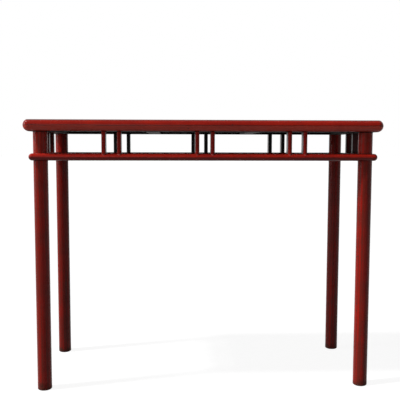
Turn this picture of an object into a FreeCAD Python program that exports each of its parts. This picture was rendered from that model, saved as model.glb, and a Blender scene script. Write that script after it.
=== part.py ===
import FreeCAD, Part
import os
import re
import Sketcher

# A lacquered altar table of east asian joinery. A mitred frame with a floating panel stands on four
# round legs. A ring of four stretchers wraps round the outside of the legs, and pairs of short struts
# stand between the ring and the frame. Every joint is a mortise and tenon.
#
# Frame of reference: X along the table, Y from front to back, Z up. The origin is on the floor under
# the middle of the table. Lengths are in millimetres.

# Driving sizes, one cell each

SIZES = {
    # The table as a whole
    "table_height": 840,
    "top_length": 1094,
    "top_depth": 462,
    "leg_inset": 46,
    "joint_clearance": 0.15,
    "overrun": 3,
    # Frame of the top
    "frame_thickness": 35.6,
    "frame_width": 75,
    "edge_arris_inset": 11,
    "groove_lip": 4,
    "tongue_thickness": 6,
    "tongue_length": 9,
    "tongue_spare": 0.8,
    # Corner joints of the frame
    "corner_tenon_cover": 2,
    "corner_tenon_thickness": 10,
    "corner_tenon_edge_wall": 26,
    "corner_tenon_inner_wall": 5,
    "corner_tenon_end_wall": 20,
    "peg_diameter": 6,
    "peg_tenon_margin": 6,
    "peg_bite": 3,
    # Floating panel and its battens
    "panel_shoulder": 2,
    "panel_gap": 0.4,
    "seam_tongue_thickness": 4,
    "seam_tongue_length": 5,
    "batten_width": 42,
    "batten_setback": 0.5,
    "batten_place": 163,
    "batten_key_width": 28,
    "batten_key_height": 3.5,
    "batten_key_flare": 1.5,
    "batten_tenon_length": 14,
    "batten_tenon_cheek": 8,
    "batten_tenon_shoulder": 4,
    # Legs
    "leg_diameter": 44,
    "foot_chamfer": 2,
    "leg_tenon_start": 3,
    "leg_tenon_cheek": 8,
    "long_leg_tenon_roof": 15.6,
    "short_leg_tenon_roof": 1.6,
    "leg_core_reach": 10,
    # Stretchers
    "stretcher_drop": 66,
    "stretcher_height": 22,
    "stretcher_depth": 32,
    "stretcher_arris": 1.5,
    "stub_start": 2,
    "stub_width": 6,
    "stub_height": 12,
    "stub_end": 8,
    # Struts
    "strut_width": 13,
    "strut_setback": 1,
    "strut_front_flat": 1,
    "strut_pair_place": 283.5,
    "strut_pair_half_gap": 23.5,
    "side_strut_half_gap": 38,
    "strut_tenon_thickness": 7,
    "strut_tenon_inset": 4,
    "strut_tenon_outer_wall": 12,
    "strut_tenon_length": 8,
}

# Places and sizes that follow from the driving ones

WORKED_OUT = {
    "half_length": "top_length / 2",
    "half_depth": "top_depth / 2",
    "leg_run": "half_length - leg_inset",
    "leg_out": "half_depth - leg_inset",
    "leg_radius": "leg_diameter / 2",
    # Heights
    "underside": "table_height - frame_thickness",
    "tongue_top": "table_height - groove_lip",
    "tongue_bottom": "tongue_top - tongue_thickness",
    "panel_bottom": "tongue_bottom - panel_shoulder",
    "corner_tenon_top": "tongue_bottom - corner_tenon_cover",
    "corner_tenon_bottom": "corner_tenon_top - corner_tenon_thickness",
    "batten_bottom": "underside + batten_setback",
    "stretcher_crown": "underside - stretcher_drop",
    "stretcher_radius": "stretcher_height / 2",
    "stretcher_middle": "stretcher_crown - stretcher_radius",
    "stretcher_bottom": "stretcher_crown - stretcher_height",
    # The rounded edge meets the underside in a tangent and the upper face at the arris
    "edge_radius": "edge_arris_inset + frame_thickness - sqrt(2 * edge_arris_inset * frame_thickness)",
    # Panel and frame
    "inner_half_length": "half_length - frame_width",
    "inner_half_depth": "half_depth - frame_width",
    "panel_half_length": "inner_half_length - panel_gap",
    "panel_half_depth": "inner_half_depth - panel_gap",
    "groove_depth": "tongue_length - panel_gap + tongue_spare",
    "peg_end_inset": "corner_tenon_end_wall + peg_tenon_margin",
    "peg_front_inset": "frame_width - corner_tenon_inner_wall - peg_tenon_margin",
    "peg_length": "corner_tenon_top - underside + peg_bite",
    # Tenons on top of the legs: the short one stops under the corner tenon
    "leg_tenon_width": "leg_radius - leg_tenon_cheek - leg_tenon_start",
    "leg_tenon_offset": "leg_tenon_start + leg_tenon_width / 2",
    "long_leg_tenon": "frame_thickness - long_leg_tenon_roof",
    "short_leg_tenon": "corner_tenon_bottom - underside - short_leg_tenon_roof",
    # Where the stretchers pass the legs
    "cope_radius": "leg_radius + joint_clearance",
    "core_face": "leg_core_reach + joint_clearance",
    "cope_chord": "sqrt(cope_radius ^ 2 - core_face ^ 2)",
    "stretcher_round_place": "stretcher_depth - stretcher_radius",
    # Struts
    "strut_depth": "stretcher_depth - strut_setback",
    "strut_rounding": "(strut_width - strut_front_flat) / 2",
    "strut_height": "underside - stretcher_crown",
    "strut_cope_radius": "stretcher_radius + joint_clearance",
    "strut_tenon_width": "stretcher_depth - strut_tenon_inset - strut_tenon_outer_wall",
    "strut_cope_start": "stretcher_round_place + sqrt(strut_cope_radius ^ 2 - stretcher_radius ^ 2)",
}

BOARD_COUNT = 3
FULL_TURN = 360
MITRE_TURN = 45
UPRIGHT = FreeCAD.Vector(0, 0, 1)

# The points of a sketched edge, by the numbers that its constraints use
START, FINISH, CENTRE = 1, 2, 3

# Turn of a piece that is drawn at the front, about the table's upright middle line
SIDE_TURNS = {"front": 0, "right": 90, "back": 180, "left": -90}

DOCUMENT = FreeCAD.newDocument("altar_table")
SHEET = DOCUMENT.addObject("Spreadsheet::Sheet", "Sizes")


def fill_sheet():
    """Write the driving sizes as plain numbers, and below them what is worked out from them."""
    for row, (alias, number) in enumerate(SIZES.items(), start=1):
        SHEET.set(f"A{row}", alias)
        SHEET.set(f"B{row}", str(number))
        SHEET.setAlias(f"B{row}", alias)
    for row, (alias, formula) in enumerate(WORKED_OUT.items(), start=len(SIZES) + 1):
        SHEET.set(f"A{row}", alias)
        SHEET.set(f"B{row}", "=" + formula)
        SHEET.setAlias(f"B{row}", alias)
    DOCUMENT.recompute()


def in_sheet(expression):
    """Point each size that an expression names at its cell in the sheet."""
    return re.sub(r"\b(?!sqrt\b)[a-z_]+\b", lambda word: f"{SHEET.Name}.{word.group()}", expression)


def value(expression):
    """Give the present number of an expression in named sizes."""
    return float(SHEET.evalExpression(in_sheet(expression)))


def bind(thing, **expressions):
    """Bind properties of a feature to expressions in named sizes."""
    for name, expression in expressions.items():
        thing.setExpression(name, in_sheet(expression))


def new_body(name, turn=0, across="0", along="0"):
    """Start a piece, turned about the upright axis and set at its place in plan."""
    body = DOCUMENT.addObject("PartDesign::Body", name)
    body.Label = name
    body.Placement = FreeCAD.Placement(FreeCAD.Vector(), FreeCAD.Rotation(UPRIGHT, turn))
    body.setExpression("Placement.Base.x", in_sheet(across))
    body.setExpression("Placement.Base.y", in_sheet(along))
    return body


def pin(sketch, kind, edge, end, expression):
    """Hold one coordinate of a point of a sketch at its sized distance from the origin."""
    origin = (-1, START)
    constraint = Sketcher.Constraint(kind, *origin, edge, end, value(expression))
    sketch.setExpression(f"Constraints[{sketch.addConstraint(constraint)}]", in_sheet(expression))


def add_arc(sketch, start, finish, centre_across, centre_up):
    """Draw the shorter arc from start to finish, and tell which of its ends lies at the start."""
    centre = FreeCAD.Vector(value(centre_across), value(centre_up), 0)
    anticlockwise = (start - centre).cross(finish - centre).z > 0
    first, last = (start, finish) if anticlockwise else (finish, start)
    circle = Part.Circle(centre, UPRIGHT, (start - centre).Length)
    edge = sketch.addGeometry(Part.ArcOfCircle(circle, circle.parameter(first), circle.parameter(last)))
    chord = finish - start
    if abs(chord.y) > abs(chord.x):
        pin(sketch, "DistanceX", edge, CENTRE, centre_across)
    else:
        pin(sketch, "DistanceY", edge, CENTRE, centre_up)
    return (edge, START, FINISH) if anticlockwise else (edge, FINISH, START)


def draw(body, name, plane, outlines, height="0", aside="0"):
    """Draw closed outlines on one of a piece's own planes.

    The sketch is raised along the plane's normal by its height, and moved across by aside. A corner
    is (across, up). Where the edge that leaves it is an arc, the arc's centre follows it, as
    (across, up, centre_across, centre_up), and the arc goes the shorter way round.
    """
    sketch = body.newObject("Sketcher::SketchObject", f"{body.Name}_{name}")
    origin_plane = next(each for each in body.Origin.OriginFeatures if each.Role == plane)
    sketch.AttachmentSupport = [(origin_plane, "")]
    sketch.MapMode = "FlatFace"
    sketch.setExpression("AttachmentOffset.Base.z", in_sheet(height))
    sketch.setExpression("AttachmentOffset.Base.x", in_sheet(aside))
    for corners in outlines:
        points = [FreeCAD.Vector(value(corner[0]), value(corner[1]), 0) for corner in corners]
        edges = []
        for corner, start, finish in zip(corners, points, points[1:] + points[:1]):
            if len(corner) == 4:
                edge, start_end, finish_end = add_arc(sketch, start, finish, corner[2], corner[3])
            else:
                edge = sketch.addGeometry(Part.LineSegment(start, finish))
                start_end, finish_end = START, FINISH
            pin(sketch, "DistanceX", edge, start_end, corner[0])
            pin(sketch, "DistanceY", edge, start_end, corner[1])
            edges.append((edge, start_end, finish_end))
        for (edge, _, finish_end), (following, following_start, _) in zip(edges, edges[1:] + edges[:1]):
            sketch.addConstraint(
                Sketcher.Constraint("Coincident", edge, finish_end, following, following_start))
    return sketch


def rectangle(left, right, low, high):
    """Give the corners of a rectangle between two places across and two places up."""
    return [(left, low), (right, low), (right, high), (left, high)]


def pad(body, name, plane, outlines, length, height="0", both_ways=False):
    """Add wood: outlines drawn on a plane and extended along its normal, or both ways from it."""
    feature = body.newObject("PartDesign::Pad", f"{body.Name}_{name}_pad")
    feature.Profile = draw(body, name, plane, outlines, height)
    feature.SideType = "Symmetric" if both_ways else "One side"
    bind(feature, Length=length)
    body.Tip = feature
    DOCUMENT.recompute()


def spin(body, name, plane, outlines, turn, height="0", aside="0", backwards=False):
    """Add wood: outlines drawn on a plane and turned about their own upright line."""
    feature = body.newObject("PartDesign::Revolution", f"{body.Name}_{name}_spin")
    feature.Profile = draw(body, name, plane, outlines, height, aside)
    feature.ReferenceAxis = (feature.Profile[0], ["V_Axis"])
    feature.Angle = turn
    feature.Reversed = backwards
    body.Tip = feature
    DOCUMENT.recompute()


def cut(body, name, plane, outlines, length=None, height="0", along_normal=True):
    """Take wood away: as deep as a length along the plane's normal or against it, or right through."""
    volume_before = body.Shape.Volume
    feature = body.newObject("PartDesign::Pocket", f"{body.Name}_{name}_cut")
    feature.Profile = draw(body, name, plane, outlines, height)
    if length:
        feature.SideType = "One side"
        feature.Reversed = along_normal
        bind(feature, Length=length)
    else:
        feature.Type = "ThroughAll"
        feature.SideType = "Symmetric"
    body.Tip = feature
    DOCUMENT.recompute()
    if not body.Shape.Volume < volume_before:
        raise RuntimeError(f"{feature.Name} took nothing away")


# Places of the struts along each side, as the pair's middle and the strut's side of it

LONG_STRUT_PLACES = [
    f"{pair_side} * strut_pair_place + {strut_side} * strut_pair_half_gap"
    for pair_side in (-1, 0, 1)
    for strut_side in (-1, 1)
]
END_STRUT_PLACES = [f"{strut_side} * side_strut_half_gap" for strut_side in (-1, 1)]


def strut_mortises(places, leg_plane):
    """Outlines of the mortises for a row of struts, on a side whose legs stand at leg_plane."""
    half_thickness = "(strut_tenon_thickness / 2 + joint_clearance)"
    near = f"-({leg_plane}) - strut_tenon_inset + joint_clearance"
    far = f"-({leg_plane}) - strut_tenon_inset - strut_tenon_width - joint_clearance"
    return [
        rectangle(f"{place} - {half_thickness}", f"{place} + {half_thickness}", far, near)
        for place in places
    ]


def round_corners(body, section, end, line, radius):
    """Turn a half section from the round's middle line to the mitre, at both ends of a piece.

    The line is the round's distance from the table's middle, and the piece's own end is as far past
    the corner's upright axis as the radius.
    """
    for name, side in (("first_corner", -1), ("second_corner", 1)):
        spin(body, name, "YZ_Plane", [section], MITRE_TURN,
             height=f"{side} * ({end} - {radius})", aside=f"-({line})", backwards=side < 0)


# Frame of the top: four rails, mitred at the corners, round at the outer edge and grooved inside

def rail_blank(name, turn, half_run, out):
    """A mitred rail at the front: half_run is half its length, out its edge's distance from the middle."""
    body = new_body(name, turn)
    inner = f"-({out}) + frame_width"
    groove_floor = f"-({out}) + frame_width - groove_depth"
    profile = [
        (f"-({out}) + edge_arris_inset", "table_height",
         f"-({out}) + edge_radius", "underside + edge_radius"),
        (f"-({out}) + edge_radius", "underside"),
        (inner, "underside"),
        (inner, "tongue_bottom"),
        (groove_floor, "tongue_bottom"),
        (groove_floor, "tongue_top + joint_clearance"),
        (inner, "tongue_top + joint_clearance"),
        (inner, "table_height"),
    ]
    pad(body, "profile", "YZ_Plane", [profile], f"2 * ({half_run} - edge_radius)", both_ways=True)
    mitres = [
        [
            (f"{end} * ({half_run} + overrun)", f"-({out}) - overrun"),
            (f"{end} * ({half_run} + overrun)", f"-({out}) + frame_width + overrun"),
            (f"{end} * ({half_run} - frame_width - overrun)", f"-({out}) + frame_width + overrun"),
        ]
        for end in (-1, 1)
    ]
    cut(body, "mitres", "XY_Plane", mitres)
    edge_section = [
        ("0", "table_height"),
        ("edge_arris_inset - edge_radius", "table_height", "0", "underside + edge_radius"),
        ("0", "underside"),
    ]
    round_corners(body, edge_section, half_run, f"{out} - edge_radius", "edge_radius")
    return body


def leg_mortises(body, half_run, out, depth):
    """Square mortises from below for the tenon that each leg sends into this rail."""
    half_width = "(leg_tenon_width / 2 + joint_clearance)"
    outlines = []
    for end in (-1, 1):
        across = f"{end} * ({half_run} - leg_inset - leg_tenon_offset)"
        up = f"-({out}) + leg_inset - leg_tenon_offset"
        outlines.append(rectangle(
            f"{across} - {half_width}", f"{across} + {half_width}",
            f"{up} - {half_width}", f"{up} + {half_width}"))
    cut(body, "leg_mortises", "XY_Plane", outlines, f"{depth} + joint_clearance", "underside")


def peg_holes(body, half_run, out, end_inset, edge_inset):
    """Bores from below for the pegs, drawn as two half circles each."""
    radius = "(peg_diameter / 2 + joint_clearance)"
    up = f"-({out}) + {edge_inset}"
    outlines = []
    for end in (-1, 1):
        across = f"{end} * ({half_run} - {end_inset})"
        outlines.append([
            (f"{across} - {radius}", up, across, up),
            (across, f"{up} - {radius}", across, up),
            (f"{across} + {radius}", up, across, up),
            (across, f"{up} + {radius}", across, up),
        ])
    cut(body, "peg_holes", "XY_Plane", outlines, "peg_length + joint_clearance", "underside")


def long_rail(name, turn):
    """A front or back rail: tenons at its ends, and mortises for the battens in its inner face."""
    body = rail_blank(name, turn, "half_length", "half_depth")
    tenons = [
        rectangle(
            f"{end} * (half_length - frame_width + corner_tenon_inner_wall)",
            f"{end} * (half_length - corner_tenon_end_wall)",
            "-half_depth + corner_tenon_edge_wall",
            "-half_depth + frame_width - corner_tenon_inner_wall")
        for end in (-1, 1)
    ]
    pad(body, "tenons", "XY_Plane", tenons, "corner_tenon_thickness", "corner_tenon_bottom")
    leg_mortises(body, "half_length", "half_depth", "long_leg_tenon")
    peg_holes(body, "half_length", "half_depth", "peg_end_inset", "peg_front_inset")
    cut(body, "strut_mortises", "XY_Plane", strut_mortises(LONG_STRUT_PLACES, "leg_out"),
        "strut_tenon_length + joint_clearance", "underside")
    half_width = "(batten_width / 2 - batten_tenon_cheek + joint_clearance)"
    batten_mortises = [
        rectangle(
            f"{side} * batten_place - {half_width}",
            f"{side} * batten_place + {half_width}",
            "batten_bottom + batten_tenon_shoulder - joint_clearance",
            "panel_bottom - batten_tenon_shoulder + joint_clearance")
        for side in (-1, 1)
    ]
    cut(body, "batten_mortises", "XZ_Plane", batten_mortises,
        "batten_tenon_length + joint_clearance", "inner_half_depth")


def end_rail(name, turn):
    """A left or right rail: a mortise in each mitre takes a long rail's tenon."""
    body = rail_blank(name, turn, "half_depth", "half_length")
    mortises = [
        rectangle(
            f"{end} * (half_depth - frame_width + corner_tenon_inner_wall - joint_clearance)",
            f"{end} * (half_depth - corner_tenon_edge_wall + joint_clearance)",
            "-half_length + corner_tenon_end_wall - joint_clearance",
            "-half_length + frame_width")
        for end in (-1, 1)
    ]
    cut(body, "corner_mortises", "XY_Plane", mortises,
        "corner_tenon_thickness + 2 * joint_clearance", "corner_tenon_bottom - joint_clearance")
    leg_mortises(body, "half_depth", "half_length", "short_leg_tenon")
    peg_holes(body, "half_depth", "half_length", "peg_front_inset", "peg_end_inset")
    cut(body, "strut_mortises", "XY_Plane", strut_mortises(END_STRUT_PLACES, "leg_run"),
        "strut_tenon_length + joint_clearance", "underside")


def frame_pegs():
    """Four round pegs, driven from below through the corner tenons."""
    pegs = []
    for x_side in (-1, 1):
        for y_side in (-1, 1):
            peg = DOCUMENT.addObject("Part::Cylinder", "frame_peg")
            bind(peg, Radius="peg_diameter / 2", Height="peg_length")
            peg.setExpression("Placement.Base.x", in_sheet(f"{x_side} * (half_length - peg_end_inset)"))
            peg.setExpression("Placement.Base.y", in_sheet(f"{y_side} * (half_depth - peg_front_inset)"))
            peg.setExpression("Placement.Base.z", in_sheet("underside"))
            pegs.append(peg)
    group = DOCUMENT.addObject("Part::Compound", "frame_pegs")
    group.Label = "frame_pegs"
    group.Links = pegs


# Floating panel: boards edge to edge along the table, tongued into the frame on all four sides

def panel_board(name, index):
    """A board of the panel, counted from the front."""
    body = new_body(name)
    front = f"-panel_half_depth + {index} * 2 * panel_half_depth / {BOARD_COUNT}"
    back = f"-panel_half_depth + {index + 1} * 2 * panel_half_depth / {BOARD_COUNT}"
    seam_bottom = "tongue_top - seam_tongue_thickness"
    if index == 0:
        front_tip, front_bottom = f"{front} - tongue_length", "tongue_bottom"
    else:
        front_tip, front_bottom = f"{front} - seam_tongue_length", seam_bottom
    if index == BOARD_COUNT - 1:
        back_tip, back_bottom, back_top = f"{back} + tongue_length", "tongue_bottom", "tongue_top"
    else:
        back_tip = f"{back} - seam_tongue_length - joint_clearance"
        back_bottom = f"{seam_bottom} - joint_clearance"
        back_top = "tongue_top + joint_clearance"
    profile = [
        (front, "table_height"),
        (front, "tongue_top"),
        (front_tip, "tongue_top"),
        (front_tip, front_bottom),
        (front, front_bottom),
        (front, "panel_bottom"),
        (back, "panel_bottom"),
        (back, back_bottom),
        (back_tip, back_bottom),
        (back_tip, back_top),
        (back, back_top),
        (back, "table_height"),
    ]
    pad(body, "profile", "YZ_Plane", [profile], "2 * (panel_half_length + tongue_length)", both_ways=True)
    above_tongue = ("tongue_top", "table_height + overrun")
    below_tongue = ("panel_bottom - overrun", "tongue_bottom")
    tip = "(panel_half_length + tongue_length + overrun)"
    end_shoulders = [
        rectangle(f"{end} * panel_half_length", f"{end} * {tip}", *band)
        for end in (-1, 1)
        for band in (above_tongue, below_tongue)
    ]
    cut(body, "end_shoulders", "XZ_Plane", end_shoulders)
    key_half = "(batten_key_width / 2 + joint_clearance)"
    key_top = "panel_bottom + batten_key_height + joint_clearance"
    dovetails = [
        [
            (f"{side} * batten_place - {key_half}", "panel_bottom - overrun"),
            (f"{side} * batten_place + {key_half}", "panel_bottom - overrun"),
            (f"{side} * batten_place + {key_half}", "panel_bottom"),
            (f"{side} * batten_place + {key_half} + batten_key_flare", key_top),
            (f"{side} * batten_place - {key_half} - batten_key_flare", key_top),
            (f"{side} * batten_place - {key_half}", "panel_bottom"),
        ]
        for side in (-1, 1)
    ]
    cut(body, "dovetails", "XZ_Plane", dovetails)


def batten(name, side):
    """A batten across the underside: a dovetail key holds the boards, its tenons the long rails."""
    body = new_body(name, across=f"{side} * batten_place")
    profile = [
        ("-batten_width / 2", "batten_bottom"),
        ("batten_width / 2", "batten_bottom"),
        ("batten_width / 2", "panel_bottom"),
        ("batten_key_width / 2", "panel_bottom"),
        ("batten_key_width / 2 + batten_key_flare", "panel_bottom + batten_key_height"),
        ("-batten_key_width / 2 - batten_key_flare", "panel_bottom + batten_key_height"),
        ("-batten_key_width / 2", "panel_bottom"),
        ("-batten_width / 2", "panel_bottom"),
    ]
    pad(body, "profile", "XZ_Plane", [profile], "2 * inner_half_depth", both_ways=True)
    tenon = rectangle(
        "-batten_width / 2 + batten_tenon_cheek", "batten_width / 2 - batten_tenon_cheek",
        "batten_bottom + batten_tenon_shoulder", "panel_bottom - batten_tenon_shoulder")
    pad(body, "tenons", "XZ_Plane", [tenon], "2 * (inner_half_depth + batten_tenon_length)", both_ways=True)


# Legs: round posts with a long and a short tenon on top, cut back where the stretchers wrap them

def leg(name, x_side, y_side):
    """A leg at one corner, drawn about its own middle line."""
    body = new_body(name, across=f"{x_side} * leg_run", along=f"{y_side} * leg_out")
    half_section = [
        ("0", "0"),
        ("leg_radius - foot_chamfer", "0"),
        ("leg_radius", "foot_chamfer"),
        ("leg_radius", "underside"),
        ("0", "underside"),
    ]
    spin(body, "post", "XZ_Plane", [half_section], FULL_TURN)
    for tenon, x_sense, y_sense in (("long_leg_tenon", -1, 1), ("short_leg_tenon", 1, -1)):
        across = f"{x_side * x_sense} * leg_tenon_offset"
        up = f"{y_side * y_sense} * leg_tenon_offset"
        square = rectangle(
            f"{across} - leg_tenon_width / 2", f"{across} + leg_tenon_width / 2",
            f"{up} - leg_tenon_width / 2", f"{up} + leg_tenon_width / 2")
        pad(body, tenon, "XY_Plane", [square], tenon, "underside")
    outer = "(leg_radius + overrun)"
    housing = [
        (f"{x_side} * leg_core_reach", f"{y_side} * leg_core_reach"),
        (f"{x_side} * leg_core_reach", f"{-y_side} * {outer}"),
        (f"{x_side} * {outer}", f"{-y_side} * {outer}"),
        (f"{x_side} * {outer}", f"{y_side} * {outer}"),
        (f"{-x_side} * {outer}", f"{y_side} * {outer}"),
        (f"{-x_side} * {outer}", f"{y_side} * leg_core_reach"),
    ]
    cut(body, "housing", "XY_Plane", [housing], "stretcher_height", "stretcher_bottom")
    low_side = "(stub_start - joint_clearance)"
    high_side = "(stub_start + stub_width + joint_clearance)"
    inner_end = "(stub_end - joint_clearance)"
    mortises = [
        rectangle(
            f"{-x_side} * {outer}", f"{-x_side} * {inner_end}",
            f"{y_side} * {low_side}", f"{y_side} * {high_side}"),
        rectangle(
            f"{x_side} * {low_side}", f"{x_side} * {high_side}",
            f"{-y_side} * {outer}", f"{-y_side} * {inner_end}"),
    ]
    cut(body, "stub_mortises", "XY_Plane", mortises, "stub_height + 2 * joint_clearance",
        "stretcher_middle - stub_height / 2 - joint_clearance")


# Stretchers: flat inside and half round outside, mitred outside the legs and tenoned into them

def stretcher(name, turn, run, out, strut_places):
    """A stretcher at the front: run and out give its legs' middle lines, along it and outwards."""
    body = new_body(name, turn)
    round_line = f"-({out}) - stretcher_round_place"
    profile = [
        (round_line, "stretcher_crown", round_line, "stretcher_middle"),
        (f"-({out}) - stretcher_depth", "stretcher_middle", round_line, "stretcher_middle"),
        (round_line, "stretcher_bottom"),
        (f"-({out}) - stretcher_arris", "stretcher_bottom",
         f"-({out}) - stretcher_arris", "stretcher_bottom + stretcher_arris"),
        (f"-({out})", "stretcher_bottom + stretcher_arris"),
        (f"-({out})", "stretcher_crown - stretcher_arris",
         f"-({out}) - stretcher_arris", "stretcher_crown - stretcher_arris"),
        (f"-({out}) - stretcher_arris", "stretcher_crown"),
    ]
    pad(body, "profile", "YZ_Plane", [profile], f"2 * ({run} + stretcher_round_place)", both_ways=True)
    ends = [
        [
            (f"{end} * ({run} - cope_radius)", f"-({out}) + overrun"),
            (f"{end} * ({run} + stretcher_depth + overrun)", f"-({out}) + overrun"),
            (f"{end} * ({run} + stretcher_depth + overrun)", f"-({out}) - stretcher_depth - overrun"),
            (f"{end} * ({run} + core_face)", f"-({out}) - core_face"),
            (f"{end} * ({run} - cope_chord)", f"-({out}) - core_face", f"{end} * ({run})", f"-({out})"),
            (f"{end} * ({run} - cope_radius)", f"-({out})"),
        ]
        for end in (-1, 1)
    ]
    cut(body, "ends", "XY_Plane", ends)
    round_section = [
        ("0", "stretcher_crown", "0", "stretcher_middle"),
        ("-stretcher_radius", "stretcher_middle", "0", "stretcher_middle"),
        ("0", "stretcher_bottom"),
    ]
    round_corners(body, round_section, f"{run} + stretcher_depth", f"{out} + stretcher_round_place",
                  "stretcher_radius")
    stubs = [
        rectangle(
            f"{end} * ({run} - cope_radius - overrun)", f"{end} * ({run} - stub_end)",
            f"-({out}) - stub_start - stub_width", f"-({out}) - stub_start")
        for end in (-1, 1)
    ]
    pad(body, "stubs", "XY_Plane", stubs, "stub_height", "stretcher_middle - stub_height / 2")
    cut(body, "strut_mortises", "XY_Plane", strut_mortises(strut_places, out),
        "strut_tenon_length + joint_clearance", "stretcher_crown", along_normal=False)


# Struts: slats, rounded in front, that lap over the stretcher's round and are tenoned at both ends

def strut(name, turn, across, along):
    """A strut, drawn with its inner face on the legs' plane and its outer face to the front."""
    body = new_body(name, turn, across, along)
    half_width = "strut_width / 2"
    shoulder = "strut_depth - strut_rounding"
    section = [
        (f"-{half_width}", "0"),
        (f"-{half_width}", f"-({shoulder})", f"-{half_width} + strut_rounding", f"-({shoulder})"),
        (f"-{half_width} + strut_rounding", "-strut_depth"),
        (f"{half_width} - strut_rounding", "-strut_depth",
         f"{half_width} - strut_rounding", f"-({shoulder})"),
        (half_width, f"-({shoulder})"),
        (half_width, "0"),
    ]
    pad(body, "section", "XY_Plane", [section], "strut_height + stretcher_radius", "stretcher_middle")
    lap = [
        ("overrun", "stretcher_middle - overrun"),
        ("overrun", "stretcher_crown"),
        ("-strut_cope_start", "stretcher_crown", "-stretcher_round_place", "stretcher_middle"),
        ("-stretcher_depth - joint_clearance", "stretcher_middle"),
        ("-stretcher_depth - joint_clearance", "stretcher_middle - overrun"),
    ]
    cut(body, "lap", "YZ_Plane", [lap])
    tenon = rectangle(
        "-strut_tenon_thickness / 2", "strut_tenon_thickness / 2",
        "-strut_tenon_inset - strut_tenon_width", "-strut_tenon_inset")
    pad(body, "tenons", "XY_Plane", [tenon], "strut_height + 2 * strut_tenon_length",
        "stretcher_crown - strut_tenon_length")


def build():
    """Make every piece of the table."""
    fill_sheet()
    long_rail("top_frame_front", SIDE_TURNS["front"])
    long_rail("top_frame_back", SIDE_TURNS["back"])
    end_rail("top_frame_left", SIDE_TURNS["left"])
    end_rail("top_frame_right", SIDE_TURNS["right"])
    frame_pegs()
    for index, place in enumerate(("front", "middle", "back")):
        panel_board(f"panel_board_{place}", index)
    for name, side in (("left", -1), ("right", 1)):
        batten(f"batten_{name}", side)
    for y_name, y_side in (("front", -1), ("back", 1)):
        for x_name, x_side in (("left", -1), ("right", 1)):
            leg(f"leg_{y_name}_{x_name}", x_side, y_side)
    for side in ("front", "back"):
        stretcher(f"stretcher_{side}", SIDE_TURNS[side], "leg_run", "leg_out", LONG_STRUT_PLACES)
    for side in ("left", "right"):
        stretcher(f"stretcher_{side}", SIDE_TURNS[side], "leg_out", "leg_run", END_STRUT_PLACES)
    for side, y_side in (("front", -1), ("back", 1)):
        for number, place in enumerate(LONG_STRUT_PLACES, start=1):
            strut(f"strut_{side}_{number}", SIDE_TURNS[side], place, f"{y_side} * leg_out")
    for side, x_side in (("left", -1), ("right", 1)):
        for number, place in enumerate(END_STRUT_PLACES, start=1):
            strut(f"strut_{side}_{number}", SIDE_TURNS[side], f"{x_side} * leg_run", place)
    DOCUMENT.recompute()


def write_parts():
    """Check every object and piece, then write each piece to its own file."""
    for thing in DOCUMENT.Objects:
        if "Invalid" in thing.State or "Error" in thing.State:
            raise RuntimeError(f"{thing.Name} is {thing.State}")
    pieces = [
        thing for thing in DOCUMENT.Objects
        if thing.TypeId in ("PartDesign::Body", "Part::Compound")
    ]
    for piece in pieces:
        if piece.Shape.isNull() or not piece.Shape.isValid():
            raise RuntimeError(f"{piece.Label} has no sound shape")
    os.makedirs("parts", exist_ok=True)
    for piece in pieces:
        piece.Shape.exportStep(f"parts/{piece.Label}.step")
        print(f"{piece.Label}: {len(piece.Shape.Solids)} solid, {piece.Shape.Volume:.0f} mm3")


build()
write_parts()
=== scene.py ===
import math

import bmesh
import bpy
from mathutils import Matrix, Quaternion, Vector


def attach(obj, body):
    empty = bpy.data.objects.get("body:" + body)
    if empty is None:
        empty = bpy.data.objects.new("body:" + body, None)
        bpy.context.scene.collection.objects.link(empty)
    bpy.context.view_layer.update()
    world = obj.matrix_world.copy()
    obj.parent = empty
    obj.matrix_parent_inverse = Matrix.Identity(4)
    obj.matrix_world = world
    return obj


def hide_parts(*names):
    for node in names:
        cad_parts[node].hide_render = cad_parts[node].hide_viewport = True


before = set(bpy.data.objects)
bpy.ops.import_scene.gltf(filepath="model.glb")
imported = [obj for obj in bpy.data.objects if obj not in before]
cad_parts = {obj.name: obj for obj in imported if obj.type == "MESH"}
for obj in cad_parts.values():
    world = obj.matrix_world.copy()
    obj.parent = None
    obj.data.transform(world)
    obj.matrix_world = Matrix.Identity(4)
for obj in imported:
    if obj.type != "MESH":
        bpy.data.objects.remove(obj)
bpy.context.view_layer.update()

# Floating panel
# Three softwood boards, tongued edge to edge and into the frame's groove, so they can swell and
# shrink. The upper face is coated in red lacquer over a thin ground, the underside in black.

WELD_GAP = 1e-6
FLAT_ANGLE = math.radians(0.1)
ARRIS_ANGLE = math.radians(18)
EASE_SEGMENTS = 2
SQUARE_ON = 0.9


def eased_copy(name, node, ease):
    """Copy a joiner's piece, with each sharp edge rounded by a few strokes of the plane.

    The faces of the rounded edges carry the attribute "arris", which the finishes wear through.
    """
    mesh = bpy.data.meshes.new(name)
    work = bmesh.new()
    work.from_mesh(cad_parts[node].data)
    bmesh.ops.remove_doubles(work, verts=work.verts, dist=WELD_GAP)
    bmesh.ops.dissolve_limit(work, angle_limit=FLAT_ANGLE, verts=work.verts, edges=work.edges)
    arris = work.faces.layers.float.new("arris")
    sharp = [edge for edge in work.edges if edge.calc_face_angle(0) > ARRIS_ANGLE]
    rounded = bmesh.ops.bevel(work, geom=sharp, offset=ease, offset_type="OFFSET", affect="EDGES",
                              segments=EASE_SEGMENTS, profile=0.5, clamp_overlap=False)
    for face in rounded["faces"]:
        face[arris] = 1
    for face in work.faces:
        face.smooth = True
    work.to_mesh(mesh)
    work.free()
    piece = bpy.data.objects.new(name, mesh)
    bpy.context.scene.collection.objects.link(piece)
    piece.modifiers.new("flat faces stay flat", "WEIGHTED_NORMAL")
    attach(piece, "root")
    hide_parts(node)
    return piece


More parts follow.
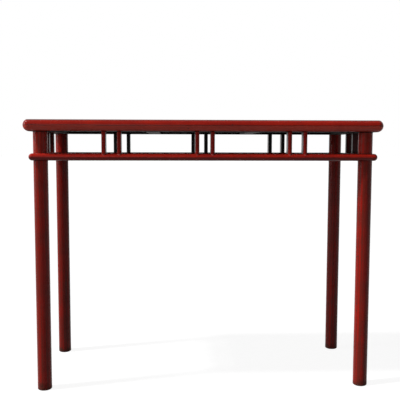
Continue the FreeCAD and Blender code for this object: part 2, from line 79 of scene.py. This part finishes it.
def coat(piece, main, *others):
    """Coat a piece all over, and again, in other colours, on the faces that look in given directions."""
    piece.data.materials.append(main)
    for number, (colour, directions) in enumerate(others, start=1):
        piece.data.materials.append(colour)
        for face in piece.data.polygons:
            if any(face.normal.dot(direction) > SQUARE_ON for direction in directions):
                face.material_index = number


def add_node(tree, kind, inputs=None, **settings):
    """Add a shader node, set it up, and feed its inputs with values or with other nodes' outputs."""
    node = tree.nodes.new(kind)
    for name, setting in settings.items():
        setattr(node, name, setting)
    for socket, source in (inputs or {}).items():
        if isinstance(source, bpy.types.NodeSocket):
            tree.links.new(source, node.inputs[socket])
        else:
            node.inputs[socket].default_value = source
    return node


def new_group(name, inputs, outputs):
    """Start a shader node group with named sockets, and give its tree, its input and output nodes."""
    tree = bpy.data.node_groups.new(name, "ShaderNodeTree")
    for direction, sockets in (("INPUT", inputs), ("OUTPUT", outputs)):
        for socket, kind in sockets.items():
            tree.interface.new_socket(socket, in_out=direction, socket_type=f"NodeSocket{kind}")
    return tree, tree.nodes.new("NodeGroupInput").outputs, tree.nodes.new("NodeGroupOutput").inputs


def masked(tree, value, none, full):
    """Turn a value into a mask that goes smoothly from 0 where it is none to 1 where it is full."""
    ramp = add_node(tree, "ShaderNodeMapRange", {"Value": value, "From Min": none, "From Max": full},
                    interpolation_type="SMOOTHSTEP")
    return ramp.outputs["Result"]


def combined(tree, operation, first, second):
    """Combine two values by a mathematical operation, kept between 0 and 1."""
    node = add_node(tree, "ShaderNodeMath", {0: first, 1: second}, operation=operation, use_clamp=True)
    return node.outputs["Value"]


# The Mix node has sockets of the same name for values and for colours, so they go by number
FIRST_VALUE, SECOND_VALUE, MIXED_VALUE = 2, 3, 0
FIRST_COLOUR, SECOND_COLOUR, MIXED_COLOUR = 6, 7, 2


def blended(tree, factor, first, second):
    """Blend from a first colour to a second by a factor."""
    node = add_node(tree, "ShaderNodeMix", {"Factor": factor, FIRST_COLOUR: first, SECOND_COLOUR: second},
                    data_type="RGBA")
    return node.outputs[MIXED_COLOUR]


def noise(tree, vector, scale, detail=2.0, roughness=0.5):
    """Give the value of a soft noise with so many features to the metre."""
    node = add_node(tree, "ShaderNodeTexNoise",
                    {"Vector": vector, "Scale": scale, "Detail": detail, "Roughness": roughness})
    return node.outputs["Fac"]


CLOUDS_TO_THE_METRE = 14
CLOUD_RANGE = (0.35, 0.68)
CLOUD_SHARE = 0.5
STREAKS_TO_THE_METRE = 140
STREAK_RANGE = (0.4, 0.6)


def build_lacquer_age():
    """Old lacquer: cloudy where it has darkened, and streaked along the grain of the wood below."""
    tree, given, put = new_group(
        "lacquer age",
        {"Vector": "Vector", "Grain": "Vector", "Fresh": "Color", "Aged": "Color", "Streaking": "Float"},
        {"Color": "Color", "Streaks": "Float"})
    clouds = noise(tree, given["Vector"], CLOUDS_TO_THE_METRE, detail=4, roughness=0.6)
    dark_clouds = combined(tree, "MULTIPLY", masked(tree, clouds, *CLOUD_RANGE), CLOUD_SHARE)
    along = add_node(tree, "ShaderNodeVectorMath", {0: given["Vector"], 1: given["Grain"]},
                     operation="MULTIPLY").outputs["Vector"]
    streaks = noise(tree, along, STREAKS_TO_THE_METRE, detail=5, roughness=0.65)
    dark_streaks = combined(tree, "MULTIPLY", masked(tree, streaks, *STREAK_RANGE), given["Streaking"])
    age = combined(tree, "ADD", dark_clouds, dark_streaks)
    tree.links.new(blended(tree, age, given["Fresh"], given["Aged"]), put["Color"])
    tree.links.new(streaks, put["Streaks"])
    return tree


WORN_PATCHES_TO_THE_METRE = 45


def build_edge_wear():
    """Rubbed edges: the coat is thin and broken in patches along the arrises."""
    tree, given, put = new_group("edge wear", {"Vector": "Vector", "Amount": "Float"}, {"Mask": "Float"})
    arris = add_node(tree, "ShaderNodeAttribute", attribute_name="arris").outputs["Fac"]
    patches = noise(tree, given["Vector"], WORN_PATCHES_TO_THE_METRE, detail=6, roughness=0.7)
    level = combined(tree, "SUBTRACT", 1, given["Amount"])
    broken = combined(tree, "GREATER_THAN", patches, level)
    tree.links.new(combined(tree, "MULTIPLY", arris, broken), put["Mask"])
    return tree


CHIPS_TO_THE_METRE = 60
CHIP_RIM = 0.17
CHIP_CORE = 0.1
RAGS_TO_THE_METRE = 400
RAG_REACH = (0.004, 0.004, 0.004)


def build_chips():
    """Small chips and knocks, scattered here and there, each with a ragged edge."""
    tree, given, put = new_group("chips", {"Vector": "Vector", "Share": "Float"}, {"Mask": "Float"})
    ragged = add_node(tree, "ShaderNodeTexNoise", {"Vector": given["Vector"], "Scale": RAGS_TO_THE_METRE})
    shifted = add_node(tree, "ShaderNodeVectorMath",
                       {0: ragged.outputs["Color"], 1: RAG_REACH, 2: given["Vector"]},
                       operation="MULTIPLY_ADD")
    cells = add_node(tree, "ShaderNodeTexVoronoi",
                     {"Vector": shifted.outputs["Vector"], "Scale": CHIPS_TO_THE_METRE})
    near = masked(tree, cells.outputs["Distance"], CHIP_RIM, CHIP_CORE)
    luck = add_node(tree, "ShaderNodeSeparateColor", {"Color": cells.outputs["Color"]}).outputs["Red"]
    chosen = combined(tree, "LESS_THAN", luck, given["Share"])
    tree.links.new(combined(tree, "MULTIPLY", near, chosen), put["Mask"])
    return tree


LACQUER_AGE = build_lacquer_age()
EDGE_WEAR = build_edge_wear()
CHIPS = build_chips()

ALONG_X = (0.03, 1, 1)
ALONG_Y = (1, 0.03, 1)
ALONG_Z = (1, 1, 0.012)

# The colour of the coat, from its undercoat up
UNDERCOAT = (0.035, 0.014, 0.009, 1)
WEAR_AMOUNT = 0.55
WEAR_DEPTH = 0.7
MANY_CHIPS = 0.04
STREAKING = 0.5
SCUFFS_TO_THE_METRE = 60
SCUFF_WANDER = 0.05
SCUFF_TOP = 0.05
SCUFF_FULL = 0.03
SCUFF_DEPTH = 0.8
LINE_WAVES_TO_THE_METRE = 25
LINE_WANDER = 0.003
LINE_BLUR = 0.002
# Depth of the dark line along the low height: a painted reflection.
PAINTED_REFLECTION_DEPTH = 3.2
CROWN_BLUR = 0.001
CROWN_GRIME = 0.75

# Its gloss and its relief
SHINE = 0.12
DULLNESS = 0.18
BARE_DULLNESS = 0.65
GLOSS_PATCHES_TO_THE_METRE = 30
GLOSS_RANGE = (0.3, 0.75)
GLOSS_SPREAD = 0.16
RIPPLES_TO_THE_METRE = 220
RIPPLE_SHARE = 0.35
STREAK_RELIEF = 0.5
BARE_RELIEF = 0.6
RELIEF_STRENGTH = 0.25
RELIEF_DEPTH = 0.0004


def lacquer(name, grain, fresh, aged, low=None, painted_reflection_line=False, crown=None, scuffed=False,
            chip_share=MANY_CHIPS, streaking=STREAKING, shine=SHINE, dullness=DULLNESS):
    """A glossy coat of old lacquer over wood whose grain runs as given.

    Low gives a height and the two tones that the coat has below it, and a dark line along it can be
    added, a painted reflection.
    Above the crown's height dirt darkens the coat. Scuffed knocks it about near the floor.
    """
    material = bpy.data.materials.new(name)
    material.use_nodes = True
    tree = material.node_tree
    tree.nodes.clear()
    place = add_node(tree, "ShaderNodeTexCoord").outputs["Object"]
    height = add_node(tree, "ShaderNodeSeparateXYZ", {0: place}).outputs["Z"]
    grime_and_painted_reflection = 0
    if low:
        line, low_fresh, low_aged = low
        waves = noise(tree, place, LINE_WAVES_TO_THE_METRE)
        wandering = add_node(tree, "ShaderNodeMath", {0: waves, 1: LINE_WANDER, 2: height},
                             operation="MULTIPLY_ADD").outputs["Value"]
        middle = line + LINE_WANDER / 2
        below = masked(tree, wandering, middle + LINE_BLUR, middle - LINE_BLUR)
        fresh = blended(tree, below, fresh, low_fresh)
        aged = blended(tree, below, aged, low_aged)
        # A dark line along the low height, a painted reflection.
        if painted_reflection_line:
            above = combined(tree, "SUBTRACT", 1, below)
            near_line = combined(tree, "MULTIPLY", below, above)
            grime_and_painted_reflection = combined(tree, "MULTIPLY", near_line, PAINTED_REFLECTION_DEPTH)
    if crown:
        crowned = combined(tree, "MULTIPLY", masked(tree, height, crown - CROWN_BLUR, crown), CROWN_GRIME)
        grime_and_painted_reflection = combined(tree, "MAXIMUM", grime_and_painted_reflection, crowned)
    age = add_node(tree, "ShaderNodeGroup", node_tree=LACQUER_AGE,
                   inputs={"Vector": place, "Grain": grain, "Fresh": fresh, "Aged": aged,
                           "Streaking": streaking})
    worn = add_node(tree, "ShaderNodeGroup", node_tree=EDGE_WEAR,
                    inputs={"Vector": place, "Amount": WEAR_AMOUNT}).outputs["Mask"]
    chipped = add_node(tree, "ShaderNodeGroup", node_tree=CHIPS,
                       inputs={"Vector": place, "Share": chip_share}).outputs["Mask"]
    bare = combined(tree, "MAXIMUM", combined(tree, "MULTIPLY", worn, WEAR_DEPTH), chipped)
    if scuffed:
        scuffs = noise(tree, place, SCUFFS_TO_THE_METRE, detail=4)
        ragged = add_node(tree, "ShaderNodeMath", {0: scuffs, 1: SCUFF_WANDER, 2: height},
                          operation="MULTIPLY_ADD").outputs["Value"]
        knocked = combined(tree, "MULTIPLY", masked(tree, ragged, SCUFF_TOP, SCUFF_FULL), SCUFF_DEPTH)
        bare = combined(tree, "MAXIMUM", bare, knocked)
    covered = combined(tree, "MAXIMUM", bare, grime_and_painted_reflection)
    colour = blended(tree, covered, age.outputs["Color"], UNDERCOAT)
    gloss = noise(tree, place, GLOSS_PATCHES_TO_THE_METRE, detail=5, roughness=0.7)
    dull = add_node(tree, "ShaderNodeMapRange", {
        "Value": gloss,
        "From Min": GLOSS_RANGE[0],
        "From Max": GLOSS_RANGE[1],
        "To Min": dullness,
        "To Max": dullness + GLOSS_SPREAD,
    }).outputs["Result"]
    roughness = add_node(tree, "ShaderNodeMix", {
        "Factor": bare, FIRST_VALUE: dull, SECOND_VALUE: BARE_DULLNESS}).outputs[MIXED_VALUE]
    ripples = combined(tree, "MULTIPLY", noise(tree, place, RIPPLES_TO_THE_METRE), RIPPLE_SHARE)
    ridges = combined(tree, "MULTIPLY", age.outputs["Streaks"], STREAK_RELIEF)
    hollows = combined(tree, "MULTIPLY", bare, BARE_RELIEF)
    relief = combined(tree, "SUBTRACT", combined(tree, "ADD", ripples, ridges), hollows)
    bump = add_node(tree, "ShaderNodeBump",
                    {"Strength": RELIEF_STRENGTH, "Distance": RELIEF_DEPTH, "Height": relief})
    gloss_coat = add_node(tree, "ShaderNodeBsdfPrincipled", {
        "Base Color": colour,
        "Roughness": roughness,
        "Specular IOR Level": shine,
        "Normal": bump.outputs["Normal"],
    })
    output = add_node(tree, "ShaderNodeOutputMaterial")
    tree.links.new(gloss_coat.outputs["BSDF"], output.inputs["Surface"])
    return material


def toned(colour, share):
    """Make a colour lighter or darker by a share of itself."""
    return tuple(share * part for part in colour[:3]) + (1,)


RED = (0.37, 0.016, 0.008, 1)
DARK_RED = (0.23, 0.011, 0.008, 1)
BLACK = (0.004, 0.003, 0.003, 1)
BROWN_BLACK = (0.012, 0.007, 0.005, 1)

FEW_CHIPS = 0.01
GROUND_SHINE = 0.01
GROUND_DULLNESS = 0.5
BOARD_EASE = 0.0004
UP = Vector((0, 0, 1))
DOWN = -UP

panel_red = lacquer("panel lacquer", ALONG_X, RED, DARK_RED)
black_along_x = lacquer("black ground, grain along x", ALONG_X, BLACK, BROWN_BLACK,
                        chip_share=FEW_CHIPS, shine=GROUND_SHINE, dullness=GROUND_DULLNESS)

for place in ("front", "middle", "back"):
    board = eased_copy(f"board_{place}", f"panel_board_{place}", BOARD_EASE)
    coat(board, panel_red, (black_along_x, [DOWN]))

# Battens
# Two wide cross pieces of hardwood under the panel. A dovetail key holds the boards flat, and a
# tenon at each end enters the long rails. They are blacked with the rest of the underside.

BATTEN_EASE = 0.0008
BATTEN_SHINE = 0.04

black_along_y = lacquer("black ground, grain along y", ALONG_Y, BLACK, BROWN_BLACK,
                        chip_share=FEW_CHIPS, shine=BATTEN_SHINE, dullness=GROUND_DULLNESS)

for side in ("left", "right"):
    batten = eased_copy(f"cross_batten_{side}", f"batten_{side}", BATTEN_EASE)
    coat(batten, black_along_y)

# Frame of the top
# Four hardwood rails, mitred at the corners, worked to one rounded edge and lacquered as a whole. The
# edge is dirty at its shoulder. Halfway down runs a fine dark line, a painted reflection, and below it
# the red is lighter and browner, which is painted light. Four wooden pegs lock the corner tenons.

INWARDS = {
    "front": Vector((0, 1, 0)),
    "back": Vector((0, -1, 0)),
    "left": Vector((1, 0, 0)),
    "right": Vector((-1, 0, 0)),
}
LONG_SIDES = ("front", "back")
RAIL_EASE = 0.0005
# Below this height the rail's edge is a lighter, browner red: painted light from below.
PAINTED_LIGHT_HEIGHT = 0.8225
PAINTED_LIGHT_RED = (0.52, 0.045, 0.025, 1)
PAINTED_LIGHT_DARK_RED = (0.36, 0.033, 0.02, 1)
PAINTED_LIGHT_BELOW = (PAINTED_LIGHT_HEIGHT, PAINTED_LIGHT_RED, PAINTED_LIGHT_DARK_RED)
RAIL_SHINE = 0.15
CROWN_HEIGHT = 0.8378

rail_red_along_x = lacquer("rail lacquer, grain along x", ALONG_X, RED, DARK_RED,
                           low=PAINTED_LIGHT_BELOW, painted_reflection_line=True, crown=CROWN_HEIGHT, shine=RAIL_SHINE)
rail_red_along_y = lacquer("rail lacquer, grain along y", ALONG_Y, RED, DARK_RED,
                           low=PAINTED_LIGHT_BELOW, painted_reflection_line=True, crown=CROWN_HEIGHT, shine=RAIL_SHINE)
upper_red_along_y = lacquer("upper face lacquer, grain along y", ALONG_Y, RED, DARK_RED)
peg_black = lacquer("blacked pegs", ALONG_Z, BLACK, BROWN_BLACK,
                    chip_share=FEW_CHIPS, shine=GROUND_SHINE, dullness=GROUND_DULLNESS)

for side, inwards in INWARDS.items():
    rail = eased_copy(f"rail_{side}", f"top_frame_{side}", RAIL_EASE)
    if side in LONG_SIDES:
        coat(rail, rail_red_along_x, (black_along_x, [DOWN, inwards]), (panel_red, [UP]))
    else:
        coat(rail, rail_red_along_y, (black_along_y, [DOWN, inwards]), (upper_red_along_y, [UP]))

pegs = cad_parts["frame_pegs"]
pegs.data.materials.clear()
pegs.data.materials.append(peg_black)

# Legs
# Four straight round posts of hardwood, tenoned into the top. The lacquer is brighter above the
# stretcher, partly as fresher lacquer where the top shelters it and partly as painted light, and is
# streaked along the grain. The back legs are darker, which is painted shade. It is dark near the
# floor, where the feet have been wetted and kicked.

LEG_EASE = 0.0006
# Above this height the legs are brighter: partly fresher lacquer, partly painted light.
SHELTER_AND_PAINTED_LIGHT_HEIGHT = 0.727
SHELTERED_AND_PAINTED_LIGHT = 1.35
LEG_SHINE = 0.1
LEG_STREAKING = 0.85
LEG_CHIPS = 0.06
LEG_RED = (0.39, 0.009, 0.003, 1)
BROWN_RED = (0.19, 0.016, 0.009, 1)
# The back legs are darker than the front ones: painted shade.
LEG_TONES_BACK_IN_PAINTED_SHADE = {"front": 0.75, "back": 0.6}

for end, tone in LEG_TONES_BACK_IN_PAINTED_SHADE.items():
    leg_red = lacquer(
        f"{end} leg lacquer", ALONG_Z, toned(LEG_RED, tone * SHELTERED_AND_PAINTED_LIGHT), toned(BROWN_RED, tone * SHELTERED_AND_PAINTED_LIGHT),
        low=(SHELTER_AND_PAINTED_LIGHT_HEIGHT, toned(LEG_RED, tone), toned(BROWN_RED, tone)),
        scuffed=True, chip_share=LEG_CHIPS, streaking=LEG_STREAKING, shine=LEG_SHINE)
    for side in ("left", "right"):
        post = eased_copy(f"post_{end}_{side}", f"leg_{end}_{side}", LEG_EASE)
        coat(post, leg_red)

# Stretchers
# One ring that wraps round the outside of the legs, half round outside and flat inside, mitred at
# the corners. Its upper half is painted lighter and its lower half darker, as painted light and
# shade, and the flat inner face is black.

STRETCHER_EASE = 0.0004
STRETCHER_MIDDLE = 0.727
# The stretcher's upper half is lighter and its lower half darker: painted light and shade.
STRETCHER_PAINTED_LIGHT_TONE = 1.15
PAINTED_SHADE_TONE = 0.5

stretcher_finish = {
    "fresh": toned(RED, STRETCHER_PAINTED_LIGHT_TONE),
    "aged": toned(DARK_RED, STRETCHER_PAINTED_LIGHT_TONE),
    "low": (STRETCHER_MIDDLE, toned(RED, PAINTED_SHADE_TONE), toned(DARK_RED, PAINTED_SHADE_TONE)),
}
stretcher_red_along_x = lacquer("stretcher lacquer, grain along x", ALONG_X, **stretcher_finish)
stretcher_red_along_y = lacquer("stretcher lacquer, grain along y", ALONG_Y, **stretcher_finish)

for side, inwards in INWARDS.items():
    stretcher = eased_copy(f"wrap_{side}", f"stretcher_{side}", STRETCHER_EASE)
    if side in LONG_SIDES:
        coat(stretcher, stretcher_red_along_x, (black_along_x, [inwards]))
    else:
        coat(stretcher, stretcher_red_along_y, (black_along_y, [inwards]))

# Struts
# Short slats in pairs, rounded in front, tenoned into the frame above and lapped over the round of
# the stretcher below. Red in front, with a pale painted highlight at the foot, darker on the sides,
# which is painted shade, and black inside.

STRUT_EASE = 0.0004
STRUT_COUNTS = {"front": 6, "back": 6, "left": 2, "right": 2}
SIDEWAYS = {
    side: (inwards.cross(DOWN), -inwards.cross(DOWN)) for side, inwards in INWARDS.items()}
# The dark red on the strut sides is painted shade.
PAINTED_SHADE_RED = (0.1, 0.007, 0.005, 1)
STRUT_TONE = 0.85
STRUT_SHINE = 0.06
STRUT_SIDE_SHINE = 0.15
# Below this height the strut's foot is pale red: a painted highlight.
PAINTED_HIGHLIGHT_HEIGHT = 0.735
PAINTED_HIGHLIGHT_RED = (0.55, 0.12, 0.11, 1)

strut_red = lacquer("strut lacquer", ALONG_Z, toned(RED, STRUT_TONE), toned(DARK_RED, STRUT_TONE),
                    low=(PAINTED_HIGHLIGHT_HEIGHT, PAINTED_HIGHLIGHT_RED, PAINTED_HIGHLIGHT_RED), shine=STRUT_SHINE)
strut_side_painted_shade = lacquer("painted shade on strut sides", ALONG_Z, PAINTED_SHADE_RED, BROWN_BLACK, shine=STRUT_SIDE_SHINE)
strut_black = lacquer("black lacquer on struts", ALONG_Z, BLACK, BROWN_BLACK, chip_share=FEW_CHIPS)

for side, count in STRUT_COUNTS.items():
    for number in range(1, count + 1):
        slat = eased_copy(f"slat_{side}_{number}", f"strut_{side}_{number}", STRUT_EASE)
        coat(slat, strut_red, (strut_side_painted_shade, SIDEWAYS[side]), (strut_black, [INWARDS[side]]))

# Floor
# A plain pale studio floor, wide enough to fill every view. It shows as white, and keeps the table's
# own shadow.

FLOOR_REACH = 40
FLOOR_TONE = (0.14, 0.14, 0.14, 1)
FLOOR_LIFT = 0.92


def white_where_seen(tree):
    """Give 1 for what the camera sees, directly, in a gloss or through glass."""
    path = add_node(tree, "ShaderNodeLightPath").outputs
    seen = combined(tree, "MAXIMUM", path["Is Camera Ray"], path["Is Glossy Ray"])
    return combined(tree, "MAXIMUM", seen, path["Is Transmission Ray"])


floor_mesh = bpy.data.meshes.new("floor")
floor_mesh.from_pydata(
    [(x * FLOOR_REACH, y * FLOOR_REACH, 0) for x, y in ((-1, -1), (1, -1), (1, 1), (-1, 1))],
    [], [(0, 1, 2, 3)])
floor = bpy.data.objects.new("floor", floor_mesh)
bpy.context.scene.collection.objects.link(floor)
floor_material = bpy.data.materials.new("pale floor")
floor_material.use_nodes = True
tree = floor_material.node_tree
tree.nodes.clear()
paint = add_node(tree, "ShaderNodeBsdfDiffuse", {"Color": FLOOR_TONE})
lift = add_node(tree, "ShaderNodeEmission", {"Strength": FLOOR_LIFT})
lifted = add_node(tree, "ShaderNodeAddShader", {0: paint.outputs["BSDF"], 1: lift.outputs["Emission"]})
shown = add_node(tree, "ShaderNodeMixShader",
                 {0: white_where_seen(tree), 1: paint.outputs["BSDF"], 2: lifted.outputs["Shader"]})
output = add_node(tree, "ShaderNodeOutputMaterial")
tree.links.new(shown.outputs["Shader"], output.inputs["Surface"])
floor_mesh.materials.append(floor_material)

# Light
# A small lamp high on the left, a wide low one beside it, a weak one low on the right and a panel in
# front, in a dim room with a white backdrop behind the table.

ROOM_TONE = (0.04, 0.04, 0.04, 1)
WHITE = (1, 1, 1, 1)
BACKDROP_EDGE = -0.3


def point_at(lamp, place, aim):
    """Hang a lamp at a place, so that it shines at the aim."""
    hung = bpy.data.objects.new(lamp.name, lamp)
    hung.location = place
    hung.rotation_mode = "QUATERNION"
    hung.rotation_quaternion = (place - aim).to_track_quat("Z", "Y")
    bpy.context.scene.collection.objects.link(hung)


def soft_sun(name, azimuth, elevation, strength, spread, glint=1.0):
    """Hang a far, soft lamp: azimuth from the front towards the right, angles in degrees.

    Glint is the share of it that shows in gloss.
    """
    across, up = math.radians(azimuth), math.radians(elevation)
    direction = Vector((math.sin(across) * math.cos(up), -math.cos(across) * math.cos(up), math.sin(up)))
    lamp = bpy.data.lights.new(name, "SUN")
    lamp.energy = strength
    lamp.angle = math.radians(spread)
    lamp.specular_factor = glint
    point_at(lamp, direction, Vector((0, 0, 0)))


soft_sun("key lamp", azimuth=-76, elevation=52, strength=3.5, spread=5)
soft_sun("low lamp", azimuth=-83, elevation=14, strength=1.5, spread=30, glint=0.25)
soft_sun("right lamp", azimuth=60, elevation=6, strength=0.2, spread=40)

PANEL_PLACE = Vector((-0.9, -2.4, 1.3))
PANEL_AIM = Vector((0, -0.2, 0.6))
PANEL_WIDTH = 1.8
PANEL_HEIGHT = 0.8
PANEL_POWER = 7

panel_lamp = bpy.data.lights.new("front panel", "AREA")
panel_lamp.shape = "RECTANGLE"
panel_lamp.size = PANEL_WIDTH
panel_lamp.size_y = PANEL_HEIGHT
panel_lamp.energy = PANEL_POWER
point_at(panel_lamp, PANEL_PLACE, PANEL_AIM)

world = bpy.data.worlds.new("studio")
world.use_nodes = True
tree = world.node_tree
tree.nodes.clear()
towards_backdrop = add_node(tree, "ShaderNodeSeparateXYZ", {
    0: add_node(tree, "ShaderNodeTexCoord").outputs["Generated"]}).outputs["Y"]
backdrop = masked(tree, towards_backdrop, BACKDROP_EDGE, 0)
path = add_node(tree, "ShaderNodeLightPath").outputs
mirrored = combined(tree, "MAXIMUM", path["Is Glossy Ray"], path["Is Transmission Ray"])
white = combined(tree, "MAXIMUM", path["Is Camera Ray"], combined(tree, "MULTIPLY", mirrored, backdrop))
tone = blended(tree, white, ROOM_TONE, WHITE)
room = add_node(tree, "ShaderNodeBackground", {"Color": tone})
output = add_node(tree, "ShaderNodeOutputWorld")
tree.links.new(room.outputs["Background"], output.inputs["Surface"])
bpy.context.scene.world = world
bpy.context.scene.view_settings.view_transform = "Standard"

# Camera
# It stands in front, a little left of the middle and level with the struts, and looks slightly to
# the right and down, as fitted to the edges of the table in the photograph.

EYE = Vector((-0.0956, -2.131, 0.759))
TURN_RIGHT = 0.042
LOOK_DOWN = 0.0843
ROLL = 0.002
FOCAL_PIXELS = 630
PICTURE_PIXELS = 400
SENSOR = 36

camera_data = bpy.data.cameras.new("camera")
camera_data.sensor_width = SENSOR
camera_data.lens = FOCAL_PIXELS / PICTURE_PIXELS * SENSOR
camera = bpy.data.objects.new("camera", camera_data)
forward = Vector((
    math.sin(TURN_RIGHT) * math.cos(LOOK_DOWN),
    math.cos(TURN_RIGHT) * math.cos(LOOK_DOWN),
    -math.sin(LOOK_DOWN)))
camera.location = EYE
camera.rotation_mode = "QUATERNION"
camera.rotation_quaternion = Quaternion(forward, -ROLL) @ forward.to_track_quat("-Z", "Y")
bpy.context.scene.collection.objects.link(camera)
bpy.context.scene.camera = camera
